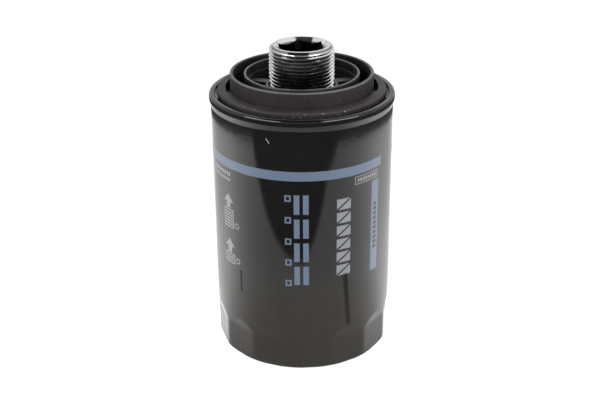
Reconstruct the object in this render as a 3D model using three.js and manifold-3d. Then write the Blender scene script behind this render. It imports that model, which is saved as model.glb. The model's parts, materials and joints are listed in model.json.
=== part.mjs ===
// Spin-on oil filter with a hollow threaded stud, millimetres, +Z up.
// Origin: centre of the closed end, which the can stands on. The stud points up.
// Front is -Y; azimuths are counted from the front, positive towards +X.

import * as THREE from 'three';
import { mergeVertices } from 'three/addons/utils/BufferGeometryUtils.js';
import Module from 'manifold-3d';

// Clearances
const gap = 0.3;             // between pieces that touch
const slideFit = 0.15;       // radial, grommet round the spigot

// Can
const canRadius = 38;
const canWall = 0.6;
const canCorner = 2;         // bend radius at the closed end
const footWidth = 7;         // flat ring that the can stands on
const floorRecess = 1.2;
const recessSlope = 3;
const fluteCount = 14;
const fluteAzimuth = -8.3;   // of the edge nearest the front
const fluteHeight = 13.8;
const fluteFade = 4.6;

// Rolled seam at the open end
const seamTop = 113.1;
const seamHeight = 5;
const seamFlare = 0.65;
const seamRoll = 1.9;        // from the can's side in to the end of the curl
const tailWall = 0.5;
const tailDrop = 3;
const lidWall = 0.6;

// Base plate
const plateThickness = 3.2;
const inletCount = 10;
const inletFill = 0.39;      // hole radius as a share of the annulus it lies in

// Threaded stud, M27 x 1.5
const studRadius = 13.5;
const threadPitch = 1.5;
const threadDepth = 0.6134 * threadPitch;
const threadLength = 15.8;
const studRise = 19.1;       // above the seam
const studBand = 1.4;        // plain length above the thread
const studChamfer = 1.1;
const hexAcross = 18;
const hexAzimuth = 8.5;      // of a corner
const hexDepth = 14;
const hexMouth = 2.05;       // radial width of the countersink
const hexMouthSlope = 0.95;  // its depth for each unit of width
const studFlange = 1.8;
const studFlangeHeight = 2.2;
const spigotStep = 2.5;      // spigot is this much smaller than the thread
const spigotReach = 8.5;

// Flange gasket
const gasketWidth = 5;
const gasketRise = 1.6;
const gasketGap = 1;         // to the curl of the seam
const gasketRound = 0.7;
const slotWidth = 1.6;
const slotHalfAngle = 17;
const slotDepth = 3.6;

// Sealing collar
const collarWall = 1.3;
const collarRise = 7.9;
const collarFoot = 2.2;
const collarFootShare = 0.49; // of the groove inside the collar

// Spoked guide round the stud
const hubWall = 1.4;
const guideWall = 1.7;
const guideStep = 0.7;
const inletShare = 0.534;    // of the room between hub and collar
const guideRise = 7.4;
const ledgeRise = 3.9;
const spokeRise = 2.3;
const spokeCount = 5;
const spokeWidth = 4.6;
const spokeHeight = 3.4;

// Anti-drain valve
const valveSleeve = 1.7;
const valveThickness = 1.2;
const valveSleeveHeight = 3.2;
const valveLip = 3.4;        // past the guide's inner wall
const valveLift = 1.5;

// Filter element
const elementGap = 4;        // can wall to end caps
const capSheet = 0.8;
const capSkirt = 3;
const skirtWall = 0.5;
const tubeStep = 5.4;        // centre tube beyond the spigot
const tubeWall = 0.6;
const tubeHoleRadius = 2;
const tubeHoleRows = 6;
const tubeHoleColumns = 6;
const paper = 0.7;
const pleatPitch = 2.57;     // along the inner folds
const pleatInset = 2;        // tube to inner folds
const foldHalfWidth = 0.9;
const clipSheet = 0.5;
const clipDepth = 5;
const clipInset = 3;         // clip's ends from the end caps' skirts
const grommetWidth = 2.75;
const grommetEase = 0.4;     // grommet's lip inside the tube
const grommetHeight = 4;
const elementTravel = 2;

// Bypass valve
const seatFlange = 3.2;      // radial, tube bore to seat plate
const seatSheet = 1;
const seatRise = 1;
const seatHoleShare = 0.57;  // of the seat plate's radius
const seatRim = 1;
const poppetOverlap = 1;     // seal beyond the seat rim
const sealThickness = 1.2;
const poppetSheet = 0.8;
const stemRadius = 3;
const stemReach = 1.5;       // above the cage
const poppetLift = 4;
const bypassSpringHeight = 12;
const bypassWire = 1.1;
const bypassTurns = 6;
const cageWall = 0.8;
const cageWindows = 4;
const cageWindowHalf = 28;

// Support spring
const supportHeight = 11.4;
const supportWire = 1.8;
const supportTurns = 3.25;
const supportTaper = 3;
const cupSheet = 0.8;
const cupRim = 1.2;

// Facets
const canSegments = 4 * fluteCount;
const roundSegments = 48;
const studSegments = 32;
const smallSegments = 24;
const wireSides = 6;

// Derived radii
const canBore = canRadius - canWall;
const tailBore = canRadius - seamRoll;
const gasketRadius = tailBore - gasketGap;
const gasketBore = gasketRadius - gasketWidth;
const collarRadius = gasketBore - gap;
const collarBore = collarRadius - collarWall;
const shankRadius = studRadius - gap;
const hubBore = studRadius + gap;
const hubRadius = hubBore + hubWall;
const guideBore = hubRadius + inletShare * (collarBore - hubRadius);
const guideRadius = guideBore + guideWall;
const inletWidth = guideBore - hubRadius;
const inletRing = (guideBore + hubRadius) / 2;
const inletRadius = inletFill * inletWidth;
const spigotRadius = studRadius - spigotStep;
const studBore = hexAcross / 2 - gap;
const flangeRadius = studRadius + studFlange;
const elementRadius = canBore - elementGap;
const tubeRadius = spigotRadius + tubeStep;
const tubeBore = tubeRadius - tubeWall;
const foldInner = tubeRadius + pleatInset;
const foldOuter = elementRadius - skirtWall - gap;
const pleats = Math.round(2 * Math.PI * foldInner / pleatPitch);
const grommetBore = spigotRadius + slideFit;
const grommetRadius = grommetBore + grommetWidth;
const seatRadius = tubeBore - seatFlange;
const seatHole = seatHoleShare * seatRadius;
const poppetRadius = seatHole + seatRim + poppetOverlap;
const supportRadius = seatRadius + 1.6;

// Derived levels
const seamFoot = seamTop - seamHeight;
const curlInner = seamTop - canWall;
const tailEnd = curlInner - tailDrop;
const lidTop = tailEnd - gap;
const lidFloor = lidTop - lidWall;
const plateTop = lidFloor - gap;
const plateBottom = plateTop - plateThickness;
const seatLevel = plateTop + gap;
const gasketTop = seamTop + gasketRise;
const collarTop = seamTop + collarRise;
const guideTop = seamTop + guideRise;
const ledgeTop = seamTop + ledgeRise;
const spokeTop = seamTop + spokeRise;
const studTop = seamTop + studRise;
const threadTop = studTop - studBand;
const flangeTop = plateBottom - gap;
const flangeBottom = flangeTop - studFlangeHeight;
const spigotEnd = flangeBottom - spigotReach;
const valveTop = flangeBottom - gap;
const valveBottom = valveTop - valveSleeveHeight;
const grommetTop = valveBottom - valveLift - 2 * gap;
const grommetBottom = grommetTop - grommetHeight;
const upperCapTop = grommetTop - 0.7;
const mediaTop = upperCapTop - capSheet - gap;
const floorTop = floorRecess + canWall;
const springBottom = floorTop + gap;
const springTop = springBottom + supportHeight;
const cupBottom = springTop + gap;
const lowerCapBottom = cupBottom + cupSheet + gap;
const lowerCapTop = lowerCapBottom + capSheet;
const mediaBottom = lowerCapTop + gap;
const seatTop = mediaBottom + seatSheet;
const sealBottom = seatTop + seatRise + gap;
const poppetBottom = sealBottom + sealThickness + gap;
const poppetTop = poppetBottom + poppetSheet;
const bypassSpringBottom = poppetTop + gap;
const cageTop = bypassSpringBottom + bypassSpringHeight + gap;
const stemTop = cageTop + cageWall + stemReach;

const wasm = await Module();
wasm.setup();

const radians = (degrees) => degrees * Math.PI / 180;

// A manifold solid from a closed three.js geometry.
function solid(geometry) {
  const bare = geometry.clone();
  bare.deleteAttribute('normal');
  bare.deleteAttribute('uv');
  const merged = mergeVertices(bare, 1e-4);
  return new wasm.Manifold(new wasm.Mesh({
    numProp: 3,
    vertProperties: new Float32Array(merged.attributes.position.array),
    triVerts: new Uint32Array(merged.index.array),
  }));
}

function geometryOf(manifold) {
  const mesh = manifold.getMesh();
  const geometry = new THREE.BufferGeometry();
  geometry.setAttribute('position', new THREE.BufferAttribute(mesh.vertProperties, 3));
  geometry.setIndex(new THREE.BufferAttribute(mesh.triVerts, 1));
  geometry.computeVertexNormals();
  return geometry;
}

// Turns a list of [radius, height] about +Z. The list ends on the axis or closes on itself.
function turned(profile, segments = roundSegments, startAzimuth = 0) {
  let area = 0;
  profile.forEach(([r, z], i) => {
    const [nextR, nextZ] = profile[(i + 1) % profile.length];
    area += r * nextZ - nextR * z;
  });
  const ordered = area > 0 ? [...profile] : [...profile].reverse();
  if (Math.min(...ordered.map(([r]) => r)) > 0) ordered.push(ordered[0]);
  else while (ordered[0][0] > 0 || ordered.at(-1)[0] > 0) ordered.push(ordered.shift());
  const points = ordered.map(([r, z]) => new THREE.Vector2(r, z));
  return new THREE.LatheGeometry(points, segments, radians(startAzimuth)).rotateX(Math.PI / 2);
}

// Ring with a rectangular section.
function ring(inner, outer, bottom, top, segments = roundSegments) {
  return turned([[inner, bottom], [outer, bottom], [outer, top], [inner, top]], segments);
}

function disc(radius, bottom, top, segments = roundSegments) {
  return turned([[0, bottom], [radius, bottom], [radius, top], [0, top]], segments);
}

// Upright prism of a flat outline.
function prism(points, bottom, top, holes = []) {
  const shape = new THREE.Shape(points);
  holes.forEach((hole) => shape.holes.push(new THREE.Path(hole)));
  return new THREE.ExtrudeGeometry(shape, { depth: top - bottom, bevelEnabled: false })
    .translate(0, 0, bottom);
}

// Point at a radius and azimuth, shifted sideways.
function around(radius, azimuth, side = 0) {
  const a = radians(azimuth);
  return new THREE.Vector2(
    radius * Math.sin(a) + side * Math.cos(a),
    -radius * Math.cos(a) + side * Math.sin(a),
  );
}

// Wedge of an annulus, from one azimuth to another.
function sector(inner, outer, from, to, bottom, top, steps = 8) {
  const points = [];
  for (let i = 0; i <= steps; i++) points.push(around(outer, from + (to - from) * i / steps));
  for (let i = steps; i >= 0; i--) points.push(around(inner, from + (to - from) * i / steps));
  return prism(points, bottom, top);
}

class Helix extends THREE.Curve {
  constructor(lowRadius, highRadius, bottom, top, turns) {
    super();
    Object.assign(this, { lowRadius, highRadius, bottom, top, turns });
  }

  getPoint(t, target = new THREE.Vector3()) {
    const a = 2 * Math.PI * this.turns * t;
    const r = THREE.MathUtils.lerp(this.lowRadius, this.highRadius, t);
    const z = THREE.MathUtils.lerp(this.bottom, this.top, t);
    return target.set(r * Math.cos(a), r * Math.sin(a), z);
  }
}

function coil(lowRadius, highRadius, bottom, top, turns, wire) {
  const section = new THREE.Shape();
  for (let i = 0; i < wireSides; i++) {
    const a = Math.PI * (2 * i + 1) / wireSides;
    const x = wire / 2 * Math.cos(a);
    const y = wire / 2 * Math.sin(a);
    if (i === 0) section.moveTo(x, y);
    else section.lineTo(x, y);
  }
  section.closePath();
  const path = new Helix(lowRadius, highRadius, bottom + wire / 2, top - wire / 2, turns);
  return new THREE.ExtrudeGeometry(section, {
    steps: Math.round(12 * turns), extrudePath: path, bevelEnabled: false,
  });
}

// Rod with a right-hand thread: helical rows of root and crest, closed by a fan at each end.
function threadedRod(crest, root, pitch, bottom, turns, segments = studSegments) {
  const rows = [[root, 0], [crest, 0.5]];
  const perTurn = rows.length;
  const rowCount = perTurn * turns + 1;
  const positions = [];
  for (let row = 0; row < rowCount; row++) {
    const [r, share] = rows[row % perTurn];
    const z = bottom + pitch * (Math.floor(row / perTurn) + share);
    for (let i = 0; i < segments; i++) {
      const a = 2 * Math.PI * i / segments;
      positions.push(r * Math.cos(a), r * Math.sin(a), z + pitch * i / segments);
    }
  }
  const at = (row, i) => (i < segments
    ? row * segments + i
    : (row + perTurn) * segments + i - segments);
  const faces = [];
  for (let row = 0; row + 1 < rowCount; row++) {
    for (let i = 0; i < segments; i++) {
      if (i + 1 === segments && row + perTurn + 1 >= rowCount) continue;
      const [a, b, c, d] = [at(row, i), at(row, i + 1), at(row + 1, i + 1), at(row + 1, i)];
      faces.push(a, b, c, a, c, d);
    }
  }
  const low = positions.length / 3;
  positions.push(0, 0, bottom);
  const high = low + 1;
  positions.push(0, 0, bottom + pitch * (turns + 1));
  const lowEdge = [];
  for (let i = 0; i < segments; i++) lowEdge.push(at(0, i));
  for (let row = perTurn; row > 0; row--) lowEdge.push(at(row, 0));
  lowEdge.forEach((v, i) => faces.push(low, lowEdge[(i + 1) % lowEdge.length], v));
  const last = rowCount - 1;
  const highEdge = [];
  for (let i = 0; i < segments; i++) highEdge.push(at(last, i));
  for (let row = last - 1; row > last - perTurn; row--) highEdge.push(at(row, segments - 1));
  highEdge.push(at(last - perTurn, segments - 1));
  highEdge.forEach((v, i) => faces.push(high, v, highEdge[(i + 1) % highEdge.length]));
  const geometry = new THREE.BufferGeometry();
  geometry.setAttribute('position', new THREE.Float32BufferAttribute(positions, 3));
  geometry.setIndex(faces);
  return geometry;
}

// Corner arc from one angle to another, for a profile.
function arc(r, z, radius, from, to, steps) {
  return Array.from({ length: steps + 1 }, (_, i) => {
    const a = radians(from + (to - from) * i / steps);
    return [r + radius * Math.cos(a), z + radius * Math.sin(a)];
  });
}

const filter = new THREE.Group();

const finishes = {
  blackPaint: { color: 0x0b0b0c, roughness: 0.16, metalness: 0.1 },
  platedSteel: { color: 0xc9c8c4, roughness: 0.28, metalness: 1 },
  springSteel: { color: 0x8e8d8a, roughness: 0.38, metalness: 1 },
  blackRubber: { color: 0x151515, roughness: 0.72, metalness: 0 },
  blackPlastic: { color: 0x101011, roughness: 0.5, metalness: 0 },
  filterPaper: { color: 0xd9b96b, roughness: 0.9, metalness: 0 },
};

function piece(name, geometry, finish, parent = filter) {
  const mesh = new THREE.Mesh(geometry, new THREE.MeshStandardMaterial(finishes[finish]));
  mesh.name = name;
  parent.add(mesh);
  return mesh;
}

// Outer can: drawn cup with wrench flats round the closed end and a curl at the open end.
function canSolid() {
  const footOuter = canRadius - canCorner;
  const footInner = footOuter - footWidth;
  const wide = canRadius + seamFlare;
  const skin = solid(turned([
    [0, floorRecess], [footInner - recessSlope, floorRecess], [footInner, 0],
    ...arc(footOuter, canCorner, canCorner, -90, 0, 3),
    [canRadius, seamFoot], [canRadius + 0.4, seamFoot + 1.5], [wide, seamTop - 1.6],
    [wide - 0.25, seamTop - 0.7], [canRadius - 0.1, seamTop - 0.15], [canRadius - 0.7, seamTop],
    [tailBore + 0.5, seamTop - 0.2], [tailBore, seamTop - 0.7], [0, seamTop - 0.7],
  ], canSegments, fluteAzimuth));
  const inCorner = canCorner - canWall;
  const hollow = solid(turned([
    [0, floorTop], [footInner - recessSlope + 0.1, floorTop], [footInner + 0.1, canWall],
    ...arc(footOuter, canCorner, inCorner, -90, 0, 2),
    [canBore, seamFoot + 0.2], [canBore + 0.4, seamFoot + 1.6], [wide - canWall, seamTop - 1.7],
    [canRadius - 0.25, curlInner - 0.2], [canRadius - 0.7, curlInner],
    [tailBore + tailWall + 0.3, curlInner - 0.15], [tailBore + tailWall, curlInner - 0.5],
    [tailBore + tailWall, tailEnd], [tailBore, tailEnd], [tailBore, seamTop + 1],
    [0, seamTop + 1],
  ], canSegments, fluteAzimuth));
  // Flats: a many-sided frustum that meets the cylinder in an arc at the top of each flat.
  const half = Math.cos(Math.PI / fluteCount);
  const flats = (vertex, wall) => {
    const slope = vertex * (1 / half - 1) / fluteFade;
    const flare = fluteFade * 3;
    return solid(turned([
      [0, -1], [vertex, -1], [vertex, fluteHeight + wall],
      [vertex + slope * flare, fluteHeight + flare], [vertex + slope * flare, seamTop + 2],
      [0, seamTop + 2],
    ], fluteCount, fluteAzimuth));
  };
  const outside = skin.intersect(flats(canRadius + 0.02, 0));
  const inside = hollow.intersect(flats((canRadius * half - canWall) / half, 0.1));
  return outside.subtract(inside);
}

piece('outer_can', geometryOf(canSolid()), 'blackPaint');

// Seam lid: thin ring whose hook lies inside the can's curl; the gasket sits on its floor.
const hookOuter = tailBore + tailWall + gap + lidWall;
const lidProfile = [
  [gasketBore, lidFloor], [hookOuter - lidWall, lidFloor], [hookOuter, lidTop + gap],
  [hookOuter, curlInner - 0.9],
  [hookOuter - lidWall, curlInner - 0.9], [hookOuter - lidWall, lidTop], [gasketBore, lidTop],
];
piece('seam_lid', turned(lidProfile), 'platedSteel');

// Base plate: thick disc with the stud's hole and a ring of inlet holes.
let plate = solid(ring(shankRadius + gap, canBore - 2 * gap, plateBottom, plateTop));
for (let i = 0; i < inletCount; i++) {
  const centre = around(inletRing, 360 * (i + 0.5) / inletCount);
  const bit = new THREE.CylinderGeometry(inletRadius, inletRadius, plateThickness + 2, 12)
    .rotateX(Math.PI / 2)
    .translate(centre.x, centre.y, (plateBottom + plateTop) / 2);
  plate = plate.subtract(solid(bit));
}
piece('base_plate', geometryOf(plate), 'platedSteel');

// Threaded stud: thread, plain band and chamfer above, flange and spigot below, hex socket.
function studSolid() {
  const turns = Math.ceil(threadLength / threadPitch);
  const rod = threadedRod(studRadius, studRadius - threadDepth, threadPitch,
    threadTop - threadPitch * (turns + 0.4), turns);
  const threadBottom = threadTop - threadLength;
  const threadCut = solid(rod).intersect(solid(disc(studRadius + 1, threadBottom, threadTop)));
  const band = studRadius - threadDepth / 2;
  const core = solid(turned([
    [0, spigotEnd], [spigotRadius - 0.5, spigotEnd], [spigotRadius, spigotEnd + 0.8],
    [spigotRadius, flangeBottom], [flangeRadius, flangeBottom], [flangeRadius, flangeTop],
    [shankRadius, flangeTop], [shankRadius, threadBottom + 0.1],
    [studRadius - threadDepth - 0.05, threadBottom + 0.1],
    [studRadius - threadDepth - 0.05, threadTop - 0.1], [band, threadTop - 0.1],
    [band, studTop - studChamfer], [band - studChamfer, studTop], [0, studTop],
  ], studSegments, 90));
  const corner = hexAcross / Math.sqrt(3);
  const hex = Array.from({ length: 6 }, (_, i) => around(corner, hexAzimuth + 60 * i));
  const socket = solid(prism(hex, studTop - hexDepth, studTop + 1));
  const bore = solid(disc(studBore, spigotEnd - 1, studTop - hexDepth + 0.5, smallSegments));
  const mouth = hexAcross / 2 + hexMouth;
  const past = 0.5;
  const countersink = solid(turned([
    [0, studTop - mouth * hexMouthSlope], [mouth + past, studTop + past * hexMouthSlope],
    [0, studTop + past * hexMouthSlope],
  ], 36));
  return core.add(threadCut).subtract(socket).subtract(bore).subtract(countersink);
}
piece('threaded_stud', geometryOf(studSolid()), 'platedSteel');

// Flange gasket: wide rubber ring with two arc pockets at its bore, left and right.
const gasketFoot = lidTop + gap;
let gasket = solid(turned([
  [gasketBore, gasketFoot], [gasketRadius, gasketFoot], [gasketRadius, gasketTop - 1.3],
  [gasketRadius - 0.25, gasketTop - 0.45], [gasketRadius - gasketRound, gasketTop],
  [gasketBore, gasketTop],
]));
for (const side of [90, -90]) {
  const pocket = sector(gasketBore - 1, gasketBore + slotWidth, side - slotHalfAngle,
    side + slotHalfAngle, gasketTop - slotDepth, gasketTop + 1);
  gasket = gasket.subtract(solid(pocket));
}
piece('flange_gasket', geometryOf(gasket), 'blackRubber');

// Sealing collar: tall thin rubber wall on a wider foot.
const footBore = collarBore - collarFootShare * (collarBore - guideRadius);
piece('sealing_collar', turned([
  [footBore, seatLevel], [collarRadius, seatLevel],
  [collarRadius, collarTop - 0.4], [collarRadius - 0.4, collarTop],
  [collarBore + 0.3, collarTop], [collarBore, collarTop - 0.3],
  [collarBore, seatLevel + collarFoot], [footBore, seatLevel + collarFoot],
]), 'blackRubber');

// Spoked guide: hub round the stud, outer wall with an inner ledge, spokes between.
let guide = solid(ring(hubBore, hubRadius, seatLevel, spokeTop));
guide = guide.add(solid(turned([
  [guideBore, seatLevel], [guideRadius, seatLevel], [guideRadius, guideTop - 0.2],
  [guideRadius - 0.2, guideTop], [guideBore + guideStep, guideTop],
  [guideBore + guideStep, ledgeTop], [guideBore, ledgeTop],
])));
for (let i = 0; i < spokeCount; i++) {
  const azimuth = 180 + 360 * i / spokeCount;
  const inner = hubRadius - hubWall / 2;
  const outer = guideBore + guideWall / 2;
  const outline = [
    around(inner, azimuth, spokeWidth / 2), around(inner, azimuth, -spokeWidth / 2),
    around(outer, azimuth, -spokeWidth / 2), around(outer, azimuth, spokeWidth / 2),
  ];
  guide = guide.add(solid(prism(outline, spokeTop - spokeHeight, spokeTop - 0.2)));
}
piece('spoked_guide', geometryOf(guide), 'blackPlastic');

// Anti-drain valve: rubber sleeve with a dished skirt whose lip closes on the base plate.
const valveGroup = new THREE.Group();
filter.add(valveGroup);
const lipRadius = guideBore + valveLip;
const lipTop = plateBottom - gap;
const valveInner = spigotRadius + gap;
const valveTurn = flangeRadius + 2 * gap;
piece('anti_drain_valve', turned([
  [valveInner, valveBottom], [valveInner + valveSleeve, valveBottom],
  [valveInner + valveSleeve + 0.3, valveTop - valveThickness],
  [valveTurn + 0.5, valveTop - valveThickness],
  [lipRadius - 1.2, lipTop - valveThickness], [lipRadius, lipTop - valveThickness * 0.6],
  [lipRadius, lipTop], [lipRadius - 1.6, lipTop], [valveTurn, valveTop],
  [valveInner, valveTop],
]), 'blackRubber', valveGroup);

// Filter element: everything that floats on the support spring.
const element = new THREE.Group();
filter.add(element);

function endCap(level, inward, hole) {
  const s = inward;
  return turned([
    [hole, level], [elementRadius, level], [elementRadius, level + s * (capSheet + capSkirt)],
    [elementRadius - skirtWall, level + s * (capSheet + capSkirt)],
    [elementRadius - skirtWall, level + s * capSheet], [hole, level + s * capSheet],
  ]);
}
piece('upper_end_cap', endCap(upperCapTop, -1, grommetRadius + gap), 'platedSteel', element);
piece('lower_end_cap', endCap(lowerCapBottom, 1, seatHole), 'platedSteel', element);

// Pleated paper: one band folded round the tube.
function pleatOutline(tip, tipHalf, valley, valleyHalf) {
  const points = [];
  for (let i = 0; i < pleats; i++) {
    const azimuth = 360 * i / pleats;
    points.push(around(tip, azimuth, -tipHalf), around(tip, azimuth, tipHalf));
    const next = azimuth + 180 / pleats;
    points.push(around(valley, next, -valleyHalf), around(valley, next, valleyHalf));
  }
  return points;
}
const valleyHalf = pleatPitch / 2 - foldHalfWidth - 0.13;
piece('pleated_media', prism(
  pleatOutline(foldOuter, foldHalfWidth, foldInner + paper, valleyHalf),
  mediaBottom, mediaTop,
  [pleatOutline(foldOuter - paper, foldHalfWidth - paper + 0.1, foldInner, valleyHalf + paper)],
), 'filterPaper', element);

// Seam clip: folded strip over the pleat that joins the paper's two ends.
const clipHalf = foldHalfWidth + gap;
const clipOuter = foldOuter + gap;
const clipInner = clipOuter - clipDepth;
const clipPath = [
  [clipInner, clipHalf], [clipOuter, clipHalf], [clipOuter, -clipHalf], [clipInner, -clipHalf],
  [clipInner, -clipHalf - clipSheet], [clipOuter + clipSheet, -clipHalf - clipSheet],
  [clipOuter + clipSheet, clipHalf + clipSheet], [clipInner, clipHalf + clipSheet],
].map(([r, side]) => around(r, 0, side));
piece('pleat_clip', prism(clipPath, mediaBottom + capSkirt + clipInset,
  mediaTop - capSkirt - clipInset), 'platedSteel', element);

// Centre tube with rows of holes.
let tube = solid(ring(tubeBore, tubeRadius, mediaBottom, mediaTop, smallSegments));
const rowPitch = (mediaTop - mediaBottom - 12) / tubeHoleRows;
for (let row = 0; row < tubeHoleRows; row++) {
  for (let column = 0; column < tubeHoleColumns / 2; column++) {
    const turn = 360 * (column + (row % 2) / 2) / tubeHoleColumns;
    const bit = new THREE.CylinderGeometry(tubeHoleRadius, tubeHoleRadius, 3 * tubeRadius, 6)
      .rotateZ(radians(turn))
      .translate(0, 0, mediaBottom + 6 + rowPitch * (row + 0.5));
    tube = tube.subtract(solid(bit));
  }
}
piece('centre_tube', geometryOf(tube), 'platedSteel', element);

// Grommet that seals the upper end cap on the stud's spigot.
const grommetLip = tubeBore - grommetEase;
piece('cap_grommet', turned([
  [grommetBore, grommetBottom], [grommetLip, grommetBottom],
  [grommetLip, mediaTop], [grommetRadius, mediaTop],
  [grommetRadius, grommetTop], [grommetBore, grommetTop],
], smallSegments), 'blackRubber', element);

// Bypass valve: seat plate, rubber-faced poppet, spring and cage, inside the tube's foot.
piece('bypass_seat', turned([
  [seatHole, mediaBottom], [seatRadius, mediaBottom], [seatRadius, seatTop],
  [seatHole + seatRim, seatTop], [seatHole + seatRim, seatTop + seatRise],
  [seatHole, seatTop + seatRise],
], smallSegments), 'platedSteel', element);

const cageRadius = seatRadius;
const cageBore = cageRadius - cageWall;
let cage = solid(turned([
  [cageBore, seatTop + gap], [cageRadius, seatTop + gap], [cageRadius, cageTop + cageWall],
  [stemRadius + gap, cageTop + cageWall], [stemRadius + gap, cageTop], [cageBore, cageTop],
], smallSegments));
for (let i = 0; i < cageWindows; i++) {
  const azimuth = 45 + 360 * i / cageWindows;
  cage = cage.subtract(solid(sector(cageBore - 1, cageRadius + 1, azimuth - cageWindowHalf,
    azimuth + cageWindowHalf, seatTop + gap + 2, cageTop - 2, 4)));
}
piece('bypass_cage', geometryOf(cage), 'platedSteel', element);

piece('bypass_spring', coil(stemRadius + 2.4, stemRadius + 2.4, bypassSpringBottom,
  bypassSpringBottom + bypassSpringHeight, bypassTurns, bypassWire), 'springSteel', element);

const poppet = new THREE.Group();
element.add(poppet);
piece('poppet_seal', disc(poppetRadius, sealBottom, sealBottom + sealThickness,
  smallSegments), 'blackRubber', poppet);
piece('bypass_poppet', turned([
  [0, poppetBottom], [poppetRadius, poppetBottom], [poppetRadius, poppetTop],
  [stemRadius, poppetTop], [stemRadius, stemTop - 0.6],
  [stemRadius - 0.6, stemTop], [0, stemTop],
], smallSegments), 'platedSteel', poppet);

// Spring cup under the element, and the conical spring between it and the can's floor.
const cupRadius = supportRadius + supportWire / 2 + 2 * gap + cupSheet;
piece('spring_cup', turned([
  [seatHole, cupBottom], [cupRadius - cupSheet, cupBottom], [cupRadius - cupSheet, cupBottom - cupRim],
  [cupRadius, cupBottom - cupRim], [cupRadius, cupBottom + cupSheet],
  [seatHole, cupBottom + cupSheet],
], smallSegments), 'platedSteel', element);
piece('support_spring', coil(supportRadius + supportTaper, supportRadius, springBottom,
  springTop, supportTurns, supportWire), 'springSteel');

export default filter;
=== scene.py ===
import json
from math import cos, hypot, pi, radians, sin, sqrt

import bpy
from mathutils import Matrix, Vector


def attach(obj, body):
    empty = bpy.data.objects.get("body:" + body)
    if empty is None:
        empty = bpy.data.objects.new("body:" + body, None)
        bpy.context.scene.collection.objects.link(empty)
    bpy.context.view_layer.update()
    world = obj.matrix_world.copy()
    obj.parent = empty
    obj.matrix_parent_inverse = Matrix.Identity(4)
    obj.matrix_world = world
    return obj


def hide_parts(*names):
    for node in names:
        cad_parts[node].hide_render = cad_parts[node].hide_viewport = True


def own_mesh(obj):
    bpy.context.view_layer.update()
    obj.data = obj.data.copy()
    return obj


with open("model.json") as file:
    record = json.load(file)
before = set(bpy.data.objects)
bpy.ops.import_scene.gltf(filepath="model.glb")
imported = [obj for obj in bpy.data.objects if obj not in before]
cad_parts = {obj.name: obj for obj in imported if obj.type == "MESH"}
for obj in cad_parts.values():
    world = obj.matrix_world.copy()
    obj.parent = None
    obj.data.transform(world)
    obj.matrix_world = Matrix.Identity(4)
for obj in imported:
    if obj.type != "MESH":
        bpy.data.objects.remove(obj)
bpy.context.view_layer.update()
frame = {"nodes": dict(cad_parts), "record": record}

mm = 0.001
toMm = 1000.0
weld = 2e-6
print("frame loaded:", len(frame["nodes"]), "nodes")


# modelling helpers

def deselect():
    if bpy.context.object and bpy.context.object.mode != "OBJECT":
        bpy.ops.object.mode_set(mode="OBJECT")
    bpy.ops.object.select_all(action="DESELECT")


def makeActive(piece):
    deselect()
    piece.select_set(True)
    bpy.context.view_layer.objects.active = piece


def edit(piece, select="NONE"):
    makeActive(piece)
    bpy.ops.object.mode_set(mode="EDIT")
    bpy.ops.mesh.select_mode(type="VERT")
    bpy.ops.mesh.select_all(action="SELECT" if select == "ALL" else "DESELECT")


def pick(piece, test):
    # selects the vertices whose place passes the test, then goes back to edit mode
    edit(piece)
    bpy.ops.object.mode_set(mode="OBJECT")
    for vertex in piece.data.vertices:
        vertex.select = test(vertex.co)
    for edge in piece.data.edges:
        edge.select = all(piece.data.vertices[i].select for i in edge.vertices)
    for face in piece.data.polygons:
        face.select = all(piece.data.vertices[i].select for i in face.vertices)
    bpy.ops.object.mode_set(mode="EDIT")


def settle(piece):
    # place and turn go into the mesh, so the object stays at the origin
    makeActive(piece)
    bpy.ops.object.transform_apply(location=True, rotation=True, scale=True)


def applyModifier(piece, kind, **settings):
    makeActive(piece)
    modifier = piece.modifiers.new(kind.lower(), kind)
    for key, value in settings.items():
        setattr(modifier, key, value)
    bpy.ops.object.modifier_apply(modifier=modifier.name)


def combine(piece, tool, how="DIFFERENCE"):
    applyModifier(piece, "BOOLEAN", object=tool, operation=how, solver="EXACT")
    bpy.data.objects.remove(tool)


def smooth(piece, angle):
    makeActive(piece)
    bpy.ops.object.shade_smooth_by_angle(angle=radians(angle))


def tidyFaces(piece, fill=False):
    edit(piece, "ALL")
    bpy.ops.mesh.remove_doubles(threshold=weld)
    if fill:
        bpy.ops.mesh.fill_holes(sides=0)
    bpy.ops.mesh.normals_make_consistent(inside=False)
    bpy.ops.object.mode_set(mode="OBJECT")


def outlineWire(name, outline, closed=True, azimuth=90, segments=4):
    # a chain of vertices at [radius, height, corner radius], in millimetres
    a = radians(azimuth)
    across = Vector((sin(a), -cos(a), 0))
    spots = [(across * row[0] + Vector((0, 0, row[1]))) * mm for row in outline]
    deselect()
    bpy.ops.mesh.primitive_plane_add(size=0.0001)
    piece = bpy.context.object
    piece.name = piece.data.name = name
    edit(piece, "ALL")
    bpy.ops.mesh.merge(type="CENTER")
    bpy.ops.transform.translate(value=spots[0])
    for here, there in zip(spots, spots[1:]):
        bpy.ops.mesh.extrude_vertices_move(TRANSFORM_OT_translate={"value": there - here})
    if closed:
        pick(piece, lambda co: min((co - spots[0]).length, (co - spots[-1]).length) < 1e-7)
        bpy.ops.mesh.edge_face_add()
    for row, spot in zip(outline, spots):
        if len(row) > 2:
            pick(piece, lambda co: (co - spot).length < 1e-7)
            bpy.ops.mesh.bevel(offset=row[2] * mm, segments=segments, affect="VERTICES")
    return piece


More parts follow.
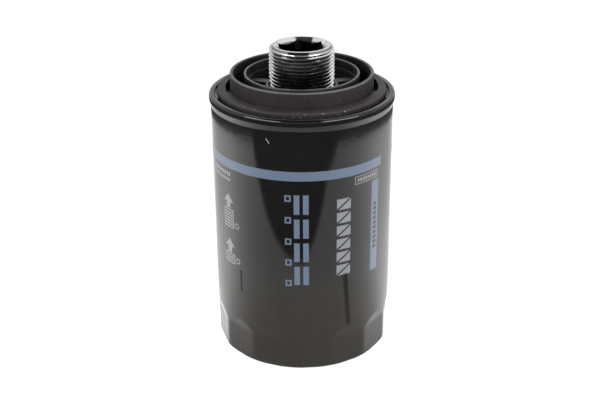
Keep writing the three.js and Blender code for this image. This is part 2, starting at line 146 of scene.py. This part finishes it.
def turn(name, outline, steps=96, closed=True, azimuth=90, segments=4, angle=360, split=None):
    # a wire turned about the axis; split cuts a stretch of it into shorter lengths
    piece = outlineWire(name, outline, closed, azimuth, segments)
    if split:
        low, high, cuts = split
        pick(piece, lambda co: low - 0.01 < co.z / mm < high + 0.01)
        bpy.ops.mesh.subdivide(number_cuts=cuts)
    edit(piece, "ALL")
    bpy.ops.mesh.spin(steps=steps, angle=radians(angle), center=(0, 0, 0), axis=(0, 0, 1))
    tidyFaces(piece)
    return piece


def cylinder(name, radius, low, high, sides=48, at=(0, 0), turnBy=0):
    deselect()
    bpy.ops.mesh.primitive_cylinder_add(
        vertices=sides, radius=radius * mm, depth=(high - low) * mm,
        location=(at[0] * mm, at[1] * mm, (low + high) / 2 * mm), rotation=(0, 0, radians(turnBy)))
    piece = bpy.context.object
    piece.name = piece.data.name = name
    settle(piece)
    return piece


def spot(radius, azimuth):
    # azimuths run from the front, positive towards +X
    a = radians(azimuth)
    return radius * sin(a), -radius * cos(a)


# shader helpers

class Wire:
    # a value in a material's nodes, for plain arithmetic
    def __init__(self, finish, socket):
        self.finish, self.socket = finish, socket

    def maths(self, operation, *others):
        values = dict(enumerate([self, *others]))
        return self.finish.node("Math", {"operation": operation}, values)

    def __add__(self, other): return self.maths("ADD", other)
    def __radd__(self, other): return self.maths("ADD", other)
    def __sub__(self, other): return self.maths("SUBTRACT", other)
    def __rsub__(self, other): return (self * -1.0) + other
    def __mul__(self, other): return self.maths("MULTIPLY", other)
    def __rmul__(self, other): return self.maths("MULTIPLY", other)
    def __truediv__(self, other): return self.maths("DIVIDE", other)
    def __pow__(self, other): return self.maths("POWER", other)
    def __abs__(self): return self.maths("ABSOLUTE")
    def most(self, other): return self.maths("MAXIMUM", other)
    def least(self, other): return self.maths("MINIMUM", other)
    def near(self, middle, reach): return self.maths("COMPARE", middle, reach)

    def ramp(self, low, high, fromValue=0.0, toValue=1.0):
        values = {0: self, 1: low, 2: high, 3: fromValue, 4: toValue}
        return self.finish.node("MapRange", {"interpolation_type": "SMOOTHSTEP"}, values)


class Finish:
    def __init__(self, name, **sockets):
        self.material = bpy.data.materials.new(name)
        self.material.use_nodes = True
        self.tree = self.material.node_tree
        self.shader = self.tree.nodes["Principled BSDF"]
        for key, value in sockets.items():
            self.shader.inputs[key.replace("_", " ")].default_value = value
        self.place = self.node("TexCoord", out="Object")

    def node(self, kind, settings=None, values=None, out=0):
        made = self.tree.nodes.new("ShaderNode" + kind)
        for key, value in (settings or {}).items():
            setattr(made, key, value)
        for key, value in (values or {}).items():
            self.feed(made.inputs[key], value)
        return Wire(self, made.outputs[out])

    def feed(self, socket, value):
        if isinstance(value, Wire):
            self.tree.links.new(value.socket, socket)
        else:
            socket.default_value = value

    def axes(self):
        split = self.node("SeparateXYZ", values={0: self.place})
        nodes = split.socket.node
        return [Wire(self, nodes.outputs[i]) for i in range(3)]

    def noise(self, scale, detail=3.0, roughness=0.55, stretch=None):
        place = self.place
        if stretch:
            place = self.node("Mapping", values={"Vector": self.place, "Scale": stretch})
        values = {"Vector": place, "Scale": scale, "Detail": detail, "Roughness": roughness}
        return self.node("TexNoise", values=values)

    def mix(self, factor, first, second):
        return self.node("Mix", {"data_type": "RGBA"}, {0: factor, 6: first, 7: second}, out=2)

    def bump(self, height, strength, distance):
        values = {"Height": height, "Strength": strength, "Distance": distance}
        return self.node("Bump", values=values)

    def paint(self, **links):
        for key, value in links.items():
            self.feed(self.shader.inputs[key.replace("_", " ")], value)
        return self.material


def grey(value, warm=0.0):
    return value * (1 + warm), value, value * (1 - warm), 1


def dress(piece, material, body, slot, *nodes):
    piece.data.materials.clear()
    piece.data.materials.append(material)
    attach(piece, body)
    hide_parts(*nodes)


# camera and light

view = {
    "pitch": 24.51, "roll": -0.38, "distance": 465.41, "aim": 62.18, "lens": 64.06,
    "shift": -0.00435,
}


def addCamera():
    tilt, roll = radians(view["pitch"]), radians(view["roll"])
    forward = Vector((0, cos(tilt), -sin(tilt)))
    right = Vector((1, 0, 0))
    up = right.cross(forward)
    rolledRight = right * cos(roll) + up * sin(roll)
    rolledUp = up * cos(roll) - right * sin(roll)
    at = Vector((0, 0, view["aim"])) - forward * view["distance"]
    bpy.ops.object.camera_add()
    camera = bpy.context.object
    camera.matrix_world = Matrix.Translation(at * mm) @ Matrix(
        (rolledRight, rolledUp, -forward)).transposed().to_4x4()
    camera.data.lens = view["lens"]
    camera.data.shift_x = view["shift"]
    camera.data.clip_start = 0.01
    bpy.context.scene.camera = camera


def addLight(name, at, aim, size, power):
    bpy.ops.object.light_add(type="AREA", location=[v * mm for v in at])
    light = bpy.context.object
    light.name = name
    light.data.shape = "RECTANGLE"
    light.data.size, light.data.size_y = size[0] * mm, size[1] * mm
    light.data.energy = power
    direction = (Vector(aim) - Vector(at)) * mm
    light.rotation_euler = direction.to_track_quat("-Z", "Y").to_euler()


stage = {
    "floor": 6000, "front": 0.9, "sides": 2.15, "horizon": 1.0, "ceiling": 0.05,
    "cardEdge": 132, "cardStep": 74, "cardStepWidth": 120, "cardReach": 293, "card": 0.12,
    "cardSoft": 5, "footShade": (120, 42), "haze": (0.15, 0.5), "panelFoot": (0.3, 0.45),
    "panelEdges": (((1, -0.83, 0.54), 0.04, -0.04), ((1, 0.39, -0.22), -0.03, 0.03)),
    "panel": 0.95, "softboxPower": 6.0, "softboxSize": (720, 280), "softboxAim": (0, 0, 110),
    "softboxes": {"leftSoftbox": (-640, -540, 450), "rightSoftbox": (620, -560, 450)},
}


def addSky():
    # white near the horizon, dim overhead between two bright sides
    world = bpy.data.worlds.new("studio")
    world.use_nodes = True
    nodes, links = world.node_tree.nodes, world.node_tree.links
    place = nodes.new("ShaderNodeTexCoord")
    split = nodes.new("ShaderNodeSeparateXYZ")
    fade = nodes.new("ShaderNodeMapRange")
    fade.interpolation_type = "SMOOTHSTEP"
    for i, value in enumerate((*stage["haze"], stage["horizon"], stage["ceiling"]), 1):
        fade.inputs[i].default_value = value
    links.new(place.outputs["Generated"], split.inputs[0])
    links.new(split.outputs[2], fade.inputs[0])
    total = fade.outputs[0]
    for aim, start, end in stage["panelEdges"]:
        side = nodes.new("ShaderNodeVectorMath")
        side.operation = "DOT_PRODUCT"
        side.inputs[1].default_value = aim
        edge, high, both, add = [nodes.new(kind) for kind in (
            "ShaderNodeMapRange", "ShaderNodeMapRange", "ShaderNodeMath", "ShaderNodeMath")]
        for node, values in ((edge, (start, end, 0, stage["panel"])),
                             (high, (*stage["panelFoot"], 0, 1))):
            for i, value in enumerate(values, 1):
                node.inputs[i].default_value = value
        both.operation = "MULTIPLY"
        links.new(place.outputs["Generated"], side.inputs[0])
        links.new(side.outputs["Value"], edge.inputs[0])
        links.new(split.outputs[2], high.inputs[0])
        links.new(edge.outputs[0], both.inputs[0])
        links.new(high.outputs[0], both.inputs[1])
        links.new(both.outputs[0], add.inputs[0])
        links.new(total, add.inputs[1])
        total = add.outputs[0]
    links.new(total, nodes["Background"].inputs["Strength"])
    nodes["Background"].inputs["Color"].default_value = (1, 1, 1, 1)
    bpy.context.scene.world = world


def addFloor():
    # lit from below like a light table, brighter beside the can than in front of it
    deselect()
    bpy.ops.mesh.primitive_plane_add(size=stage["floor"] * mm, location=(0, 0, -0.00005))
    floor = bpy.context.object
    floor.name = "floor"
    paper = Finish("floorPaper", Roughness=0.9, Base_Color=grey(0.14), Emission_Strength=1.0)
    x, y, z = paper.axes()
    facing = y * -1.0 / ((x * x + y * y) ** 0.5)
    beside = facing.ramp(0.97, -0.15) * facing.ramp(-0.85, -0.05)
    glow = paper.mix(beside, grey(stage["front"]), grey(stage["sides"]))
    floor.data.materials.append(paper.paint(Emission_Color=glow))


def addCard():
    # black cloth in front and far out all round, plus painted shade round the can's foot standing
    # for its shadow: only its reflection shows
    deselect()
    bpy.ops.mesh.primitive_plane_add(size=1, location=(0, -0.2, 0.001))
    card = bpy.context.object
    card.name = "darkCard"
    card.scale = (3.2, 2.4, 1)
    settle(card)
    clothAndShade = Finish("cardClothAndShade", Roughness=1.0, Base_Color=grey(0.0), Specular_IOR_Level=0.0,
                   Emission_Color=grey(stage["card"]), Emission_Strength=1.0)
    x, y, z = clothAndShade.axes()
    x, y = x * toMm, y * toMm
    right = (x / stage["cardStepWidth"]).most(0.0).least(1.0)
    edge = right * -stage["cardStep"] - abs(x) * 0.05 - stage["cardEdge"]
    front = ((edge - y) / (right * 14.0 + 10.0) + 0.5).ramp(0.0, 1.0)
    reach = (x * x + y * y) ** 0.5
    far = reach.ramp(stage["cardReach"] - stage["cardSoft"], stage["cardReach"] + stage["cardSoft"])
    # painted shade: near the can's foot the card darkens, standing for the foot's shadow as seen in
    # the can's reflection
    near = reach.ramp(*stage["footShade"]) * ((y / reach).ramp(0.7, 0.97) * 0.45 + 0.33)
    clothAndShade.feed(clothAndShade.shader.inputs["Alpha"], front.most(far).most(near))
    card.data.materials.append(clothAndShade.material)
    card.visible_camera = False
    card.visible_diffuse = False
    card.visible_shadow = False


addCamera()
addSky()
addFloor()
addCard()
for name, at in stage["softboxes"].items():
    addLight(name, at, stage["softboxAim"], stage["softboxSize"], stage["softboxPower"])
print("camera and light")


# outer can

can = {
    "radius": 38, "wall": 0.6, "recess": 1.2, "footInner": 29, "slope": 3, "corner": 1.5,
    "crease": 108.1, "seamTop": 113.1, "flare": 0.65, "tail": 36.1, "tailEnd": 109.5,
    "flats": 14, "azimuth": -8.3, "flatTop": 13.8, "fade": 4.6, "edgeRound": 0.7,
    "pressInner": 33, "pressTop": 22, "wallFoot": 20, "flareTall": 2.25, "rollTall": 1.9,
    "rollRound": 1.25,
}


def flatsForm():
    # many-sided cup that the closed end is pressed to
    half = cos(pi / can["flats"])
    slope = can["radius"] * (1 / half - 1) / can["fade"]
    flare = 14
    form = turn("flatsForm", [
        (0, -3), (can["radius"] + 0.02, -3), (can["radius"] + 0.02, can["flatTop"]),
        (can["radius"] + slope * flare, can["flatTop"] + flare), (0, can["flatTop"] + flare),
    ], steps=can["flats"], closed=False, azimuth=can["azimuth"])
    edit(form)
    bpy.ops.object.mode_set(mode="OBJECT")
    for edge in form.data.edges:
        low, high = (form.data.vertices[i].co for i in edge.vertices)
        edge.select = abs(low.z - high.z) > mm and hypot(low.x, low.y) > 20 * mm
    bpy.ops.object.mode_set(mode="EDIT")
    bpy.ops.mesh.select_mode(type="EDGE")
    bpy.ops.mesh.bevel(offset=can["edgeRound"] * mm, segments=4)
    bpy.ops.object.mode_set(mode="OBJECT")
    return form


def buildCan():
    inner = can["footInner"]
    top, wide = can["seamTop"], can["radius"] + can["flare"]
    shell = turn("canShell", [
        (0, can["recess"]), (inner - can["slope"], can["recess"], 1.2), (inner, 0, 0.9),
        (can["radius"], 0, can["corner"]), (can["radius"], can["wallFoot"]),
        (can["radius"], can["crease"] - 0.4), (can["radius"], can["crease"], 0.12),
        (wide, can["crease"] + can["flareTall"], 0.12), (wide, top - can["rollTall"], 0.5),
        (wide, top, can["rollRound"]), (can["tail"], top, 0.7), (can["tail"], can["tailEnd"]),
    ], steps=can["flats"] * 14, closed=False, azimuth=can["azimuth"], segments=6,
        split=(can["corner"], can["wallFoot"], 36))
    form = flatsForm()
    pressed = shell.vertex_groups.new(name="pressed")
    pressed.add([v.index for v in shell.data.vertices
                 if hypot(v.co.x, v.co.y) > can["pressInner"] * mm
                 and v.co.z < can["pressTop"] * mm], 1.0, "REPLACE")
    applyModifier(shell, "SHRINKWRAP", target=form, wrap_method="NEAREST_SURFACEPOINT",
                  wrap_mode="INSIDE", vertex_group="pressed")
    bpy.data.objects.remove(form)
    shell.vertex_groups.clear()
    applyModifier(shell, "SOLIDIFY", thickness=can["wall"] * mm, offset=-1, use_even_offset=True)
    smooth(shell, 24)
    return shell


label = {
    "ink": (0.085, 0.115, 0.165, 1), "pale": (0.20, 0.21, 0.225, 1),
    "band": (87.44, 91.44), "bandGap": (38.1, 49.7),
    "frame": (22.3, 35.7, 83.0, 86.5), "line": 0.35,
    "bar": (31.8, 36.4, 40.8, 82.0), "barMarks": (33.1, 35.3, 51.0, 72.0),
    "stripes": (-3.6, 2.4, 41.0, 81.5), "squares": (-7.3, -4.7, 40.3, 82.0),
    "blocks": (14.1, 20.4, 43.8, 78.5), "icons": -35.6, "rings": -30.4,
    "signs": ((60.5, 8.5, 62.4), (43.8, 4.6, 46.1)),
    "smallPrint": ((84.0, 85.6, 1.7), (81.6, 82.8, 1.25)),
}
wear = {
    "scratch": {"start": -14.6, "lean": 1.3, "height": 104.6, "thin": 0.35, "at": -13.9,
                "reach": 0.7},
    "runs": ((21.3, 0.073, 1.5, 0.6, 32.0, 12.5), (-28.7, 0.0, 0.8, 0.3, 37.5, 5.0)),
    "film": (60, 14), "filmTone": (0.16, 0.13, 0.085, 1),
}


def canPrint(paint, across, height):
    # plain stripes, blocks and signs, placed in millimetres round the wall and up it
    def box(left, right, low, high):
        return across.near((left + right) / 2, (right - left) / 2) * height.near(
            (low + high) / 2, (high - low) / 2)

    def dashes(along, start, pitch, share):
        return ((along - start) / pitch).maths("FRACT").maths("LESS_THAN", share)

    def outline(left, right, low, high, line):
        return box(left, right, low, high) - box(left + line, right - line, low + line, high - line)

    gapLow, gapHigh = label["bandGap"]
    low, high = label["band"]
    blue = height.near((low + high) / 2, (high - low) / 2) * (
        1 - across.near((gapLow + gapHigh) / 2, (gapHigh - gapLow) / 2))
    blue = blue + box(*label["bar"]) - box(*label["barMarks"]) * dashes(
        height, label["barMarks"][2], 2.2, 0.66)
    left, right, low, high = label["stripes"]
    pair = box(left, left + 2.3, low, high) + box(right - 2.3, right, low, high)
    blue = blue + pair * dashes(height, low, 10.65, 0.80)
    left, right, low, high = label["squares"]
    blue = blue + (box(left, right, low, high) - box(left + 0.7, right - 0.7, low, high) * dashes(
        height, low + 0.7, 9.55, 0.16)) * dashes(height, low, 9.55, 0.3)

    left, right, low, high = label["blocks"]
    block = ((height - low) / 5.95).maths("FRACT")
    cut = (block * 5.95 - (across - left) * 0.74).near(0.0, 0.45)
    pale = box(left, right, low, high) * block.maths("LESS_THAN", 0.8) * (1 - cut)
    left, right, low, high = label["frame"]
    pale = pale + outline(*label["frame"], label["line"])
    pale = pale + box(left + 0.9, right - 0.9, low + 0.95, high - 0.95) * dashes(
        across, left, 1.35, 0.68)
    middle = label["icons"]
    slant = abs(across - middle)
    for foot, tall, ringHeight in label["signs"]:
        pale = pale + outline(middle - 3.3, middle + 3.3, foot, foot + tall, 0.6)
        pale = pale + box(middle - 2.4, middle + 2.4, foot + 0.9, foot + tall - 0.9) * dashes(
            height, foot, 1.3, 0.5)
        pale = pale + box(middle - 1.3, middle + 1.3, foot + tall + 0.5, foot + tall + 3.2)
        tip = foot + tall + 6.8
        pale = pale + (slant * 1.1 + height).maths("LESS_THAN", tip) * height.maths(
            "GREATER_THAN", foot + tall + 3.2)
        ring = ((across - label["rings"]) ** 2.0 + (height - ringHeight) ** 2.0) ** 0.5
        pale = pale + ring.near(1.1, 0.25)
    for low, high, pitch in label["smallPrint"]:
        pale = pale + box(middle - 12, middle + 2, low, high) * dashes(across, -60, pitch, 0.66)
    mark = wear["scratch"]
    scratch = ((across - mark["start"]) * mark["lean"] + height).near(
        mark["height"], mark["thin"]) * across.near(mark["at"], mark["reach"])
    return blue.least(1.0), (pale * 0.8 + scratch * 2.0).least(1.0)


def canPaint():
    paint = Finish("canPaint", Roughness=0.1, IOR=1.45)
    x, y, z = paint.axes()
    across = x.maths("ARCTAN2", y * -1.0) * can["radius"]
    height = z * toMm
    dirt = paint.noise(160.0, 6.0, 0.65)
    cloud = paint.noise(22.0, 3.0)
    base = paint.mix(cloud.ramp(0.35, 0.7), grey(0.004, 0.05), grey(0.0065, 0.1))
    film = height.ramp(*wear["film"]) * dirt.ramp(0.2, 0.7, 0.6, 1.0)
    base = paint.mix(film * 0.065, base, wear["filmTone"])
    speck = paint.noise(900.0, 2.0).ramp(0.74, 0.78)
    base = paint.mix(speck * 0.25, base, grey(0.25))
    blue, pale = canPrint(paint, across, height)
    worn = dirt.ramp(0.2, 0.45, 0.75, 1.0)
    base = paint.mix(blue * worn, base, label["ink"])
    base = paint.mix(pale * worn, base, label["pale"])
    run = paint.node("Value")
    for at, lean, outer, inner, middle, reach in wear["runs"]:
        run = run + abs(across - at + height * lean).ramp(outer, inner) * height.near(middle, reach)
    rough = cloud.ramp(0.3, 0.75, 0.07, 0.11) + dirt.ramp(0.55, 0.8, 0.0, 0.05)
    rough = rough + (blue + pale) * 0.2 + run * 0.4 + film * 0.05
    orangePeel = paint.noise(420.0, 2.0)
    sag = paint.noise(30.0, 2.0, stretch=(1, 1, 0.25))
    normal = paint.bump(orangePeel * 0.25 + sag, 0.08, 0.0006)
    return paint.paint(Base_Color=base, Roughness=rough, Metallic=run * 0.65, Normal=normal)


shell = buildCan()
dress(shell, canPaint(), "shell", "can_paint", "outer_can")
print("can")


# threaded stud

stud = {
    "crest": 13.5, "root": 12.58, "pitch": 1.5, "threadLow": 114.7, "threadTop": 130.6,
    "top": 132.2, "chamfer": 1.1, "hex": 18, "hexTurn": 8.5, "hexDepth": 14, "bore": 8.7,
    "mouth": 2.05, "mouthSlope": 0.95, "flange": 15.3, "flangeLow": 102.6, "flangeTop": 104.8,
    "shank": 13.2, "spigot": 11, "end": 94.1, "steps": 96,
}


def threadRidge():
    # one turn of ridge swept up the stud, its foot buried in the core
    pitch, crest, root = stud["pitch"], stud["crest"], stud["root"]
    turns = int((stud["threadTop"] - stud["threadLow"]) / pitch) + 2
    low = stud["threadTop"] - (turns - 0.6) * pitch
    ridge = outlineWire("threadRidge", [
        (root - 0.4, low - 0.70), (root - 0.02, low - 0.68), (crest, low - 0.09),
        (crest, low + 0.09), (root - 0.02, low + 0.68), (root - 0.4, low + 0.70),
    ])
    applyModifier(ridge, "SCREW", angle=2 * pi, screw_offset=pitch * mm, iterations=turns,
                  steps=stud["steps"], render_steps=stud["steps"], axis="Z",
                  use_merge_vertices=True, merge_threshold=1e-6)
    tidyFaces(ridge, fill=True)
    return ridge


def buildStud():
    band = (stud["crest"] + stud["root"]) / 2
    core = turn("studBody", [
        (0, stud["end"]), (stud["spigot"], stud["end"], 0.6), (stud["spigot"], stud["flangeLow"]),
        (stud["flange"], stud["flangeLow"], 0.3), (stud["flange"], stud["flangeTop"], 0.3),
        (stud["shank"], stud["flangeTop"]), (stud["shank"], stud["threadLow"], 0.4),
        (stud["root"], stud["threadLow"] + 0.1), (stud["root"], stud["threadTop"] - 0.1),
        (band, stud["threadTop"] + 0.2, 0.1), (band, stud["top"] - stud["chamfer"], 0.15),
        (band - stud["chamfer"], stud["top"], 0.15), (0, stud["top"]),
    ], steps=stud["steps"], closed=False)
    ridge = threadRidge()
    span = cylinder("threadSpan", 20, stud["threadLow"] - 0.1, stud["threadTop"] + 0.15, 64)
    combine(ridge, span, "INTERSECT")
    combine(core, ridge, "UNION")
    corner = stud["hex"] / sqrt(3)
    socket = cylinder("hexSocket", corner, stud["top"] - stud["hexDepth"], stud["top"] + 2, 6,
                      turnBy=stud["hexTurn"])
    combine(core, socket)
    combine(core, cylinder("studBore", stud["bore"], stud["end"] - 1,
                           stud["top"] - stud["hexDepth"] + 0.5, 64))
    mouth, slope = stud["hex"] / 2 + stud["mouth"], stud["mouthSlope"]
    combine(core, turn("countersink", [
        (0, stud["top"] - mouth * slope), (mouth + 0.5, stud["top"] + 0.5 * slope),
        (0, stud["top"] + 0.5 * slope),
    ], steps=96, closed=False))
    smooth(core, 32)
    return core


def studPlating():
    plate = Finish("studPlating", Metallic=1.0, Roughness=0.2)
    cloud = plate.noise(140.0, 4.0)
    stain = plate.noise(60.0, 3.0).ramp(0.5, 0.8)
    x, y, z = plate.axes()
    out = (x * x + y * y) ** 0.5 * toMm  # painted shade: the socket is painted dull and dark and the thread's valleys dark
    socketShade = out.ramp(9.9, 9.5) * (z * toMm).ramp(131.4, 130.6)
    valleyShade = out.ramp(12.95, 12.6) * out.ramp(11.6, 12.2)
    scuff = plate.noise(500.0, 3.0)
    tone = plate.mix(cloud.ramp(0.3, 0.75), grey(0.62, 0.012), grey(0.76, 0.008))
    tone = plate.mix(stain * 0.3, tone, grey(0.42, 0.03))
    # painted shade in the thread's valleys and down the hex socket
    tone = plate.mix(valleyShade * 0.8, tone, grey(0.1))
    tone = plate.mix(socketShade * 0.85, tone, grey(0.06))
    rough = cloud.ramp(0.3, 0.8, 0.09, 0.15)
    return plate.paint(Base_Color=tone, Roughness=rough, Normal=plate.bump(scuff, 0.02, 0.00005))


studBody = buildStud()
dress(studBody, studPlating(), "shell", "stud_plating", "threaded_stud")
print("stud", len(studBody.data.polygons))


# rubber seals

gasket = {
    "bore": 30.1, "radius": 35.1, "foot": 109.5, "top": 114.7, "slot": 1.6, "slotAngle": 17,
    "slotDepth": 3.6,
}
collar = {
    "bore": 28.5, "radius": 29.8, "foot": 108.6, "top": 121.0, "footBore": 26.3, "footTop": 110.8,
}


def buildGasket():
    seal = turn("flangeSeal", [
        (gasket["bore"], gasket["foot"]), (gasket["radius"], gasket["foot"], 0.2),
        (gasket["radius"], gasket["top"], 0.95), (gasket["bore"] + 0.9, gasket["top"]),
        (gasket["bore"], gasket["top"], 0.15),
    ], steps=144, segments=5)
    for side in (90, -90):
        low = gasket["top"] - gasket["slotDepth"]
        tool = turn("slotTool", [
            (gasket["bore"] - 2, low), (gasket["bore"] + gasket["slot"], low),
            (gasket["bore"] + gasket["slot"], gasket["top"] + 1),
            (gasket["bore"] - 2, gasket["top"] + 1),
        ], steps=24, azimuth=side + gasket["slotAngle"], angle=2 * gasket["slotAngle"])
        tidyFaces(tool, fill=True)
        combine(seal, tool)
    smooth(seal, 35)
    return seal


def buildCollar():
    seal = turn("sealCollar", [
        (collar["footBore"], collar["foot"]), (collar["radius"], collar["foot"], 0.2),
        (collar["radius"], collar["top"], 0.5), (collar["bore"], collar["top"], 0.35),
        (collar["bore"], collar["footTop"], 0.4), (collar["footBore"], collar["footTop"], 0.3),
    ], steps=144, segments=5)
    smooth(seal, 35)
    return seal


def rubber(name, tone, worn, edgeLow, edgeHigh, dust):
    # the lip between edgeLow and edgeHigh is painted lighter, a painted highlight with some wear in
    # it; dust specks lie all over
    skin = Finish(name, Roughness=0.6, IOR=1.34)
    x, y, z = skin.axes()
    height = z * toMm
    cloud = skin.noise(70.0, 5.0, 0.6)
    grain = skin.noise(1500.0, 3.0)
    speck = skin.noise(950.0, 3.0, 0.7).ramp(0.64, 0.69) * skin.noise(45.0, 2.0).ramp(0.4, 0.6)
    edge = height.ramp(edgeLow, edgeHigh) * cloud.ramp(0.3, 0.6, 0.5, 1.0)
    base = skin.mix(cloud.ramp(0.3, 0.75), (tone * 1.3, tone * 0.9, tone * 1.1, 1),
                    (tone * 2.0, tone * 1.5, tone * 1.75, 1))
    # painted highlight: the lip band is lightened by the share worn
    base = skin.mix(edge * worn, base, grey(0.12))
    base = skin.mix(speck * dust, base, grey(0.3))
    rough = cloud.ramp(0.3, 0.7, 0.5, 0.66)
    return skin.paint(Base_Color=base, Roughness=rough, Normal=skin.bump(grain, 0.25, 0.00008))


dress(buildGasket(), rubber("gasketRubber", 0.009, 0.15, 113.6, 114.6, 0.8), "shell",
      "gasket_rubber", "flange_gasket")
dress(buildCollar(), rubber("collarRubber", 0.008, 0.9, 120.3, 120.9, 0.2), "shell",
      "collar_rubber", "sealing_collar")
print("seals")


# spoked guide

guide = {
    "hubBore": 13.8, "hub": 15.2, "bore": 22.3, "radius": 24.0, "step": 0.7, "foot": 108.6,
    "top": 120.5, "ledge": 117.0, "spokeTop": 115.4, "spokes": 5, "spokeWidth": 4.6,
    "spokeDepth": 3.4, "sink": 0.1, "overlap": 0.7, "spokeRound": 0.35,
}


def buildGuide():
    ring = turn("spokeGuide", [
        (guide["bore"], guide["foot"]), (guide["radius"], guide["foot"], 0.2),
        (guide["radius"], guide["top"], 0.3), (guide["bore"] + guide["step"], guide["top"], 0.25),
        (guide["bore"] + guide["step"], guide["ledge"]), (guide["bore"], guide["ledge"], 0.2),
    ], steps=128)
    hub = turn("hub", [
        (guide["hubBore"], guide["foot"]), (guide["hub"], guide["foot"]),
        (guide["hub"], guide["spokeTop"], 0.3), (guide["hubBore"], guide["spokeTop"], 0.25),
    ], steps=96)
    combine(ring, hub, "UNION")
    for i in range(guide["spokes"]):
        azimuth = 180 + 360 * i / guide["spokes"]
        inner, outer = guide["hub"] - guide["overlap"], guide["bore"] + 0.8
        deselect()
        bpy.ops.mesh.primitive_cube_add(size=1)
        spoke = bpy.context.object
        spoke.scale = ((outer - inner) * mm, guide["spokeWidth"] * mm, guide["spokeDepth"] * mm)
        settle(spoke)
        edit(spoke, "ALL")
        bpy.ops.mesh.select_mode(type="EDGE")
        bpy.ops.mesh.bevel(offset=guide["spokeRound"] * mm, segments=3)
        bpy.ops.object.mode_set(mode="OBJECT")
        px, py = spot((inner + outer) / 2, azimuth)
        height = guide["spokeTop"] - guide["sink"] - guide["spokeDepth"] / 2
        spoke.location = (px * mm, py * mm, height * mm)
        spoke.rotation_euler = (0, 0, radians(azimuth - 90))
        settle(spoke)
        combine(ring, spoke, "UNION")
    smooth(ring, 35)
    return ring


def guidePlastic():
    plastic = Finish("guidePlastic", Roughness=0.4)
    cloud = plastic.noise(90.0, 4.0)
    grain = plastic.noise(1100.0, 2.0)
    x, y, z = plastic.axes()
    # painted highlight: the ring's lip above about 120 mm is painted lighter
    edge = (z * toMm).ramp(119.9, 120.4) * cloud.ramp(0.3, 0.6, 0.5, 1.0)
    base = plastic.mix(cloud.ramp(0.3, 0.7), grey(0.010), grey(0.018))
    base = plastic.mix(edge * 0.35, base, grey(0.1))
    return plastic.paint(Base_Color=base, Roughness=cloud.ramp(0.3, 0.7, 0.32, 0.5),
                         Normal=plastic.bump(grain, 0.2, 0.00006))


dress(buildGuide(), guidePlastic(), "shell", "guide_plastic", "spoked_guide")
print("guide")


# springs

springs = {
    "support": {"low": 2.1, "high": 13.5, "radius": 17.2, "topRadius": 14.2, "wire": 1.8,
                "turns": 3.25},
    "bypass": {"low": 20.9, "high": 32.9, "radius": 5.4, "topRadius": 5.4, "wire": 1.1,
               "turns": 6},
}


def buildSpring(name, size):
    half = size["wire"] / 2
    low, high = size["low"] + half, size["high"] - half
    deselect()
    bpy.ops.mesh.primitive_circle_add(
        vertices=14, radius=half * mm, location=(size["radius"] * mm, 0, low * mm),
        rotation=(pi / 2, 0, 0))
    spring = bpy.context.object
    spring.name = spring.data.name = name
    settle(spring)
    steps = int(40 * size["turns"])
    applyModifier(spring, "SCREW", angle=2 * pi * size["turns"], screw_offset=(high - low) * mm,
                  iterations=1, steps=steps, render_steps=steps, axis="Z")
    tidyFaces(spring, fill=True)
    if size["topRadius"] < size["radius"]:
        taperUp(spring, low, high, size["topRadius"] / size["radius"])
    smooth(spring, 50)
    return spring


def taperUp(piece, low, high, share):
    # a cage of eight points, its upper four drawn in
    deselect()
    bpy.ops.object.add(type="LATTICE", location=(0, 0, (low + high) / 2 * mm))
    cage = bpy.context.object
    cage.scale = (60 * mm, 60 * mm, (high - low) * mm)
    cage.data.points_u = cage.data.points_v = cage.data.points_w = 2
    for point in cage.data.points:
        if point.co_deform.z > 0:
            point.co_deform.x *= share
            point.co_deform.y *= share
    bpy.context.view_layer.update()
    applyModifier(piece, "LATTICE", object=cage)
    bpy.data.objects.remove(cage)


# carried-over nodes

def sheetSteel(name, tone, warm=0.01, roughness=0.3):
    steel = Finish(name, Metallic=1.0, Roughness=roughness)
    cloud = steel.noise(60.0, 5.0)
    grain = steel.noise(1.0, 3.0, stretch=(260, 260, 1900))
    base = steel.mix(cloud.ramp(0.3, 0.75), grey(tone * 0.75, warm), grey(tone, warm))
    rough = cloud.ramp(0.3, 0.8, roughness - 0.06, roughness + 0.14)
    return steel.paint(Base_Color=base, Roughness=rough, Normal=steel.bump(grain, 0.12, 0.00008))


def filterPaper():
    paper = Finish("filterPaper", Roughness=0.9)
    cloud = paper.noise(40.0, 4.0)
    fibre = paper.noise(1400.0, 4.0, 0.7)
    base = paper.mix(cloud.ramp(0.3, 0.7), (0.60, 0.40, 0.15, 1), (0.74, 0.53, 0.24, 1))
    base = paper.mix(fibre.ramp(0.5, 0.8) * 0.3, base, (0.42, 0.27, 0.10, 1))
    return paper.paint(Base_Color=base, Roughness=cloud.ramp(0.3, 0.7, 0.82, 0.95),
                       Normal=paper.bump(fibre, 0.4, 0.0001))


carried = {
    "inner_steel": sheetSteel("innerSteel", 0.55),
    "cap_steel": sheetSteel("capSteel", 0.62, 0.015, 0.26),
    "spring_steel": sheetSteel("springSteel", 0.42, 0.01, 0.34),
    "valve_rubber": rubber("valveRubber", 0.02, 0.0, 0.0, 1.0, 0.1),
    "filter_paper": filterPaper(),
}
slotOf = {row["node"]: row["material_slot"] for row in frame["record"]["subparts"]}
for name, node in frame["nodes"].items():
    if slotOf[name] in carried:
        for i in range(len(node.material_slots)):
            node.material_slots[i].material = carried[slotOf[name]]
print("carried nodes")

supportSpring = buildSpring("supportSpring", springs["support"])
dress(supportSpring, carried["spring_steel"], "shell", "spring_steel", "support_spring")
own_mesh(supportSpring)
bypassSpring = buildSpring("bypassSpring", springs["bypass"])
dress(bypassSpring, carried["spring_steel"], "element", "spring_steel", "bypass_spring")
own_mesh(bypassSpring)
print("springs")

bpy.context.scene.view_settings.view_transform = "Standard"
